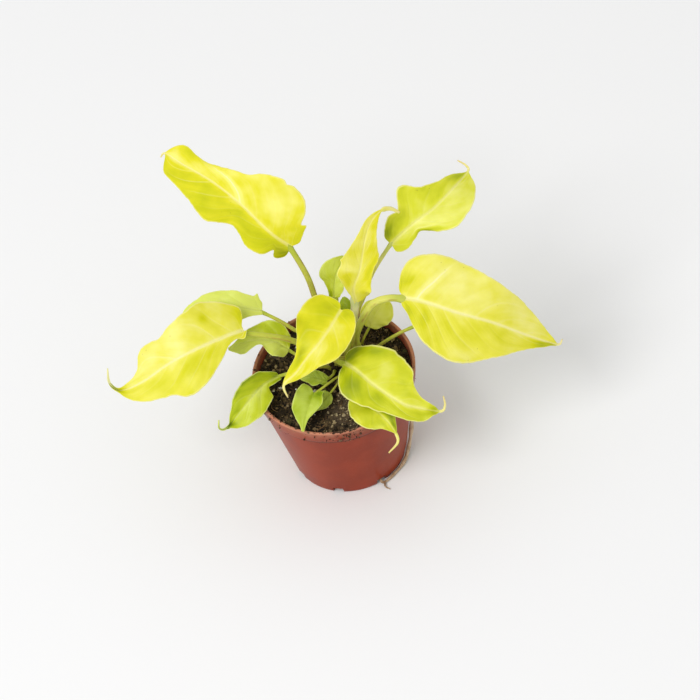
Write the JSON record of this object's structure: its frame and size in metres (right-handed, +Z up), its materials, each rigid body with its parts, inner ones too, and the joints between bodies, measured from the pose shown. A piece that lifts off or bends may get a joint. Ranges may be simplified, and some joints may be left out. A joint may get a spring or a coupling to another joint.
{
  "type": "potted philodendron",
  "caption": "Young trailing houseplant with heart-shaped golden-lime leaves on slender stalks, standing in a small round plastic nursery pot of potting mix.",
  "frame": {"origin": "middle of the underside of the pot, on the surface it stands on", "axes": "+Z up along the pot's axis, -Y towards the viewer of the picture, +X to the right"},
  "size_m": [0.1904, 0.1214, 0.1345],
  "materials": {
    "pot_plastic": "semi-gloss terracotta-coloured plastic",
    "potting_mix": "matt, crumbly",
    "stem": "satin",
    "leaf_gold": "satin",
    "leaf_pale_gold": "satin",
    "leaf_lime": "satin",
    "leaf_green": "satin",
    "root": "matt"
  },
  "bodies": {
    "root": {"pot": "pot_plastic", "soil": "potting_mix", "crown": "stem", "leaf_upper_left": "leaf_gold", "leaf_left_back": "leaf_lime", "leaf_left_big": "leaf_pale_gold", "leaf_left_small": "leaf_lime", "leaf_centre_front": "leaf_gold", "leaf_upright": "leaf_gold", "leaf_back_green": "leaf_lime", "leaf_upper_right": "leaf_pale_gold", "leaf_right_big": "leaf_pale_gold", "leaf_round_back": "leaf_lime", "leaf_front_right": "leaf_gold", "leaf_front_low": "leaf_lime", "leaf_front_left": "leaf_lime", "leaf_front_heart": "leaf_green", "leaf_front_tiny": "leaf_green", "leaf_low_green": "leaf_green", "leaf_under_right": "leaf_lime", "leaf_back_tiny": "leaf_green", "drain_root": "root"}
  },
  "joints": []
}
